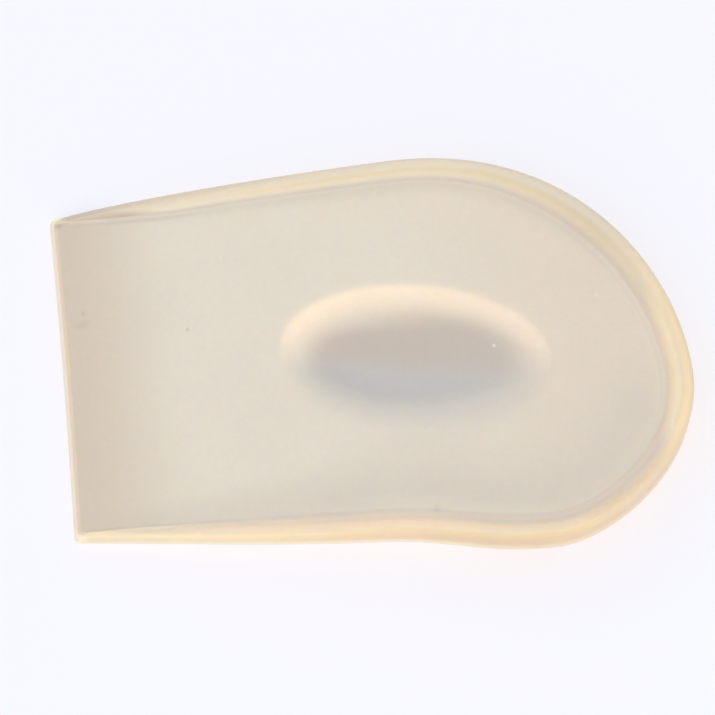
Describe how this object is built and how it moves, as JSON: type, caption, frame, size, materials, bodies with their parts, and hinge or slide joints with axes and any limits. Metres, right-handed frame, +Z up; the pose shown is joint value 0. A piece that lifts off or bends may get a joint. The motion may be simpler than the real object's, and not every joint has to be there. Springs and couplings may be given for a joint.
{
  "type": "heel cushion",
  "caption": "Soft silicone heel cushion for a shoe: a wedge-shaped dish with a thin straight front edge, a raised rim round the heel and an oval hollow that relieves the heel bone.",
  "frame": {"origin": "middle of the flat underside, under the centre of the bounding box", "axes": "+X from the straight front edge to the back of the heel, +Z up from the underside"},
  "size_m": [0.0914, 0.059, 0.01],
  "materials": {
    "silicone": "satin, translucent cream silicone"
  },
  "bodies": {
    "root": {"heel_cushion": "silicone"}
  },
  "joints": []
}
